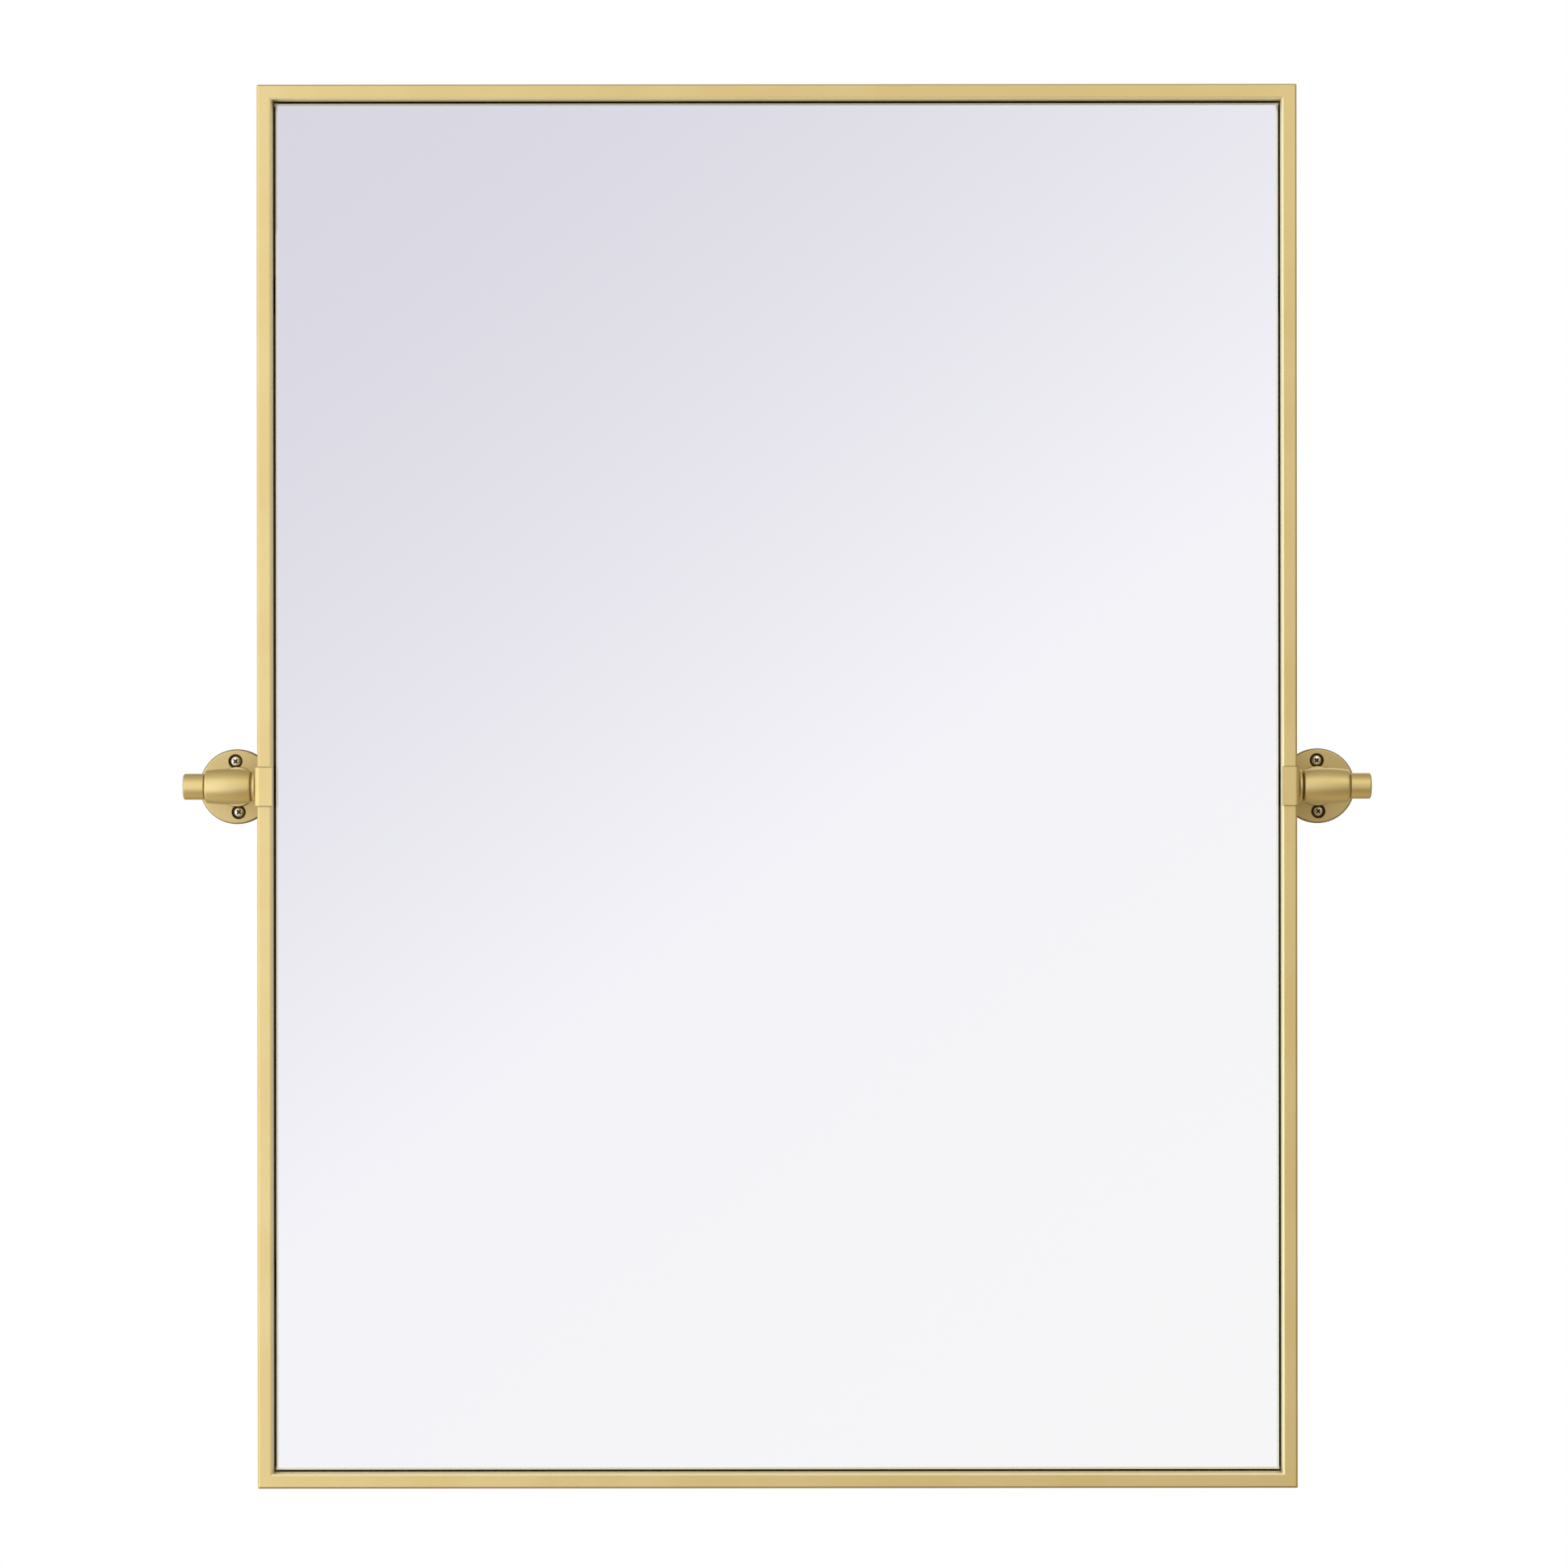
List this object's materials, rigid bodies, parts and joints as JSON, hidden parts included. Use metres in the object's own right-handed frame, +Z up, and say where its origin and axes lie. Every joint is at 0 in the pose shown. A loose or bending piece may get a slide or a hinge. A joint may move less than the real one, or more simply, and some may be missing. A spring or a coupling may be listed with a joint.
{
  "type": "pivot wall mirror",
  "caption": "Rectangular wall mirror in a slim satin-gold metal frame, tilting between two round wall brackets with clamp knobs.",
  "frame": {"origin": "on the wall plane, midway between the two rosettes, level with the pivot axis", "axes": "+X to the right seen from the front, +Y into the wall, +Z up; the mirror faces -Y"},
  "size_m": [0.6874, 0.1002, 0.81],
  "materials": {
    "satin_gold_steel": "satin champagne-gold plated steel, fine matt grain",
    "satin_gold_cast": "satin champagne-gold, brushed round the turning axis",
    "screw_brass": "bright, pale brass plating",
    "zinc_steel": "bright zinc plating",
    "dark_nylon": "matt dark nylon",
    "silvered_glass": "clear float glass, silvered behind, front edges seamed",
    "foam_tape": "closed-cell foam tape",
    "black_board": "fibreboard, painted black",
    "clear_rubber": "translucent soft rubber"
  },
  "bodies": {
    "wall_brackets": {"left_rosette": "satin_gold_cast", "left_wall_screws": "screw_brass", "left_pivot_arm": "satin_gold_cast", "left_arm_screw": "zinc_steel", "left_friction_washer": "dark_nylon", "left_knob_washer": "dark_nylon", "right_rosette": "satin_gold_cast", "right_wall_screws": "screw_brass", "right_pivot_arm": "satin_gold_cast", "right_arm_screw": "zinc_steel", "right_friction_washer": "dark_nylon", "right_knob_washer": "dark_nylon"},
    "mirror_panel": {"top_rail": "satin_gold_steel", "bottom_rail": "satin_gold_steel", "left_rail": "satin_gold_steel", "right_rail": "satin_gold_steel", "mirror_glass": "silvered_glass", "glass_tape": "foam_tape", "backing_board": "black_board", "board_tabs": "zinc_steel", "tab_screws": "zinc_steel", "wall_bumpers": "clear_rubber", "left_clip": "satin_gold_steel", "left_clip_washer": "dark_nylon", "left_collar": "satin_gold_cast", "left_rail_nut": "zinc_steel", "right_clip": "satin_gold_steel", "right_clip_washer": "dark_nylon", "right_collar": "satin_gold_cast", "right_rail_nut": "zinc_steel"},
    "left_pivot_stud": {"left_stud": "zinc_steel"},
    "left_clamp_knob": {"left_knob": "satin_gold_cast"},
    "right_pivot_stud": {"right_stud": "zinc_steel"},
    "right_clamp_knob": {"right_knob": "satin_gold_cast"}
  },
  "joints": [
    {"name": "mirror_tilt", "type": "hinge", "parent": "wall_brackets", "child": "mirror_panel", "pos_m": [0, -0.05, 0], "axis": [1, 0, 0], "range_deg": [-5, 5]},
    {"name": "left_stud_travel", "type": "slide", "parent": "mirror_panel", "child": "left_pivot_stud", "axis": [-1, 0, 0], "range_m": [0, 0.001]},
    {"name": "left_knob_turn", "type": "hinge", "parent": "left_pivot_stud", "child": "left_clamp_knob", "pos_m": [-0.318, -0.05, 0], "axis": [-1, 0, 0], "range_deg": [0, 360]},
    {"name": "right_stud_travel", "type": "slide", "parent": "mirror_panel", "child": "right_pivot_stud", "axis": [1, 0, 0], "range_m": [0, 0.001]},
    {"name": "right_knob_turn", "type": "hinge", "parent": "right_pivot_stud", "child": "right_clamp_knob", "pos_m": [0.318, -0.05, 0], "axis": [1, 0, 0], "range_deg": [0, 360]}
  ],
  "couplings": [
    {"joint": "left_knob_turn", "follows": "left_stud_travel", "rad_per_m": 6283.2},
    {"joint": "right_knob_turn", "follows": "right_stud_travel", "rad_per_m": 6283.2}
  ]
}
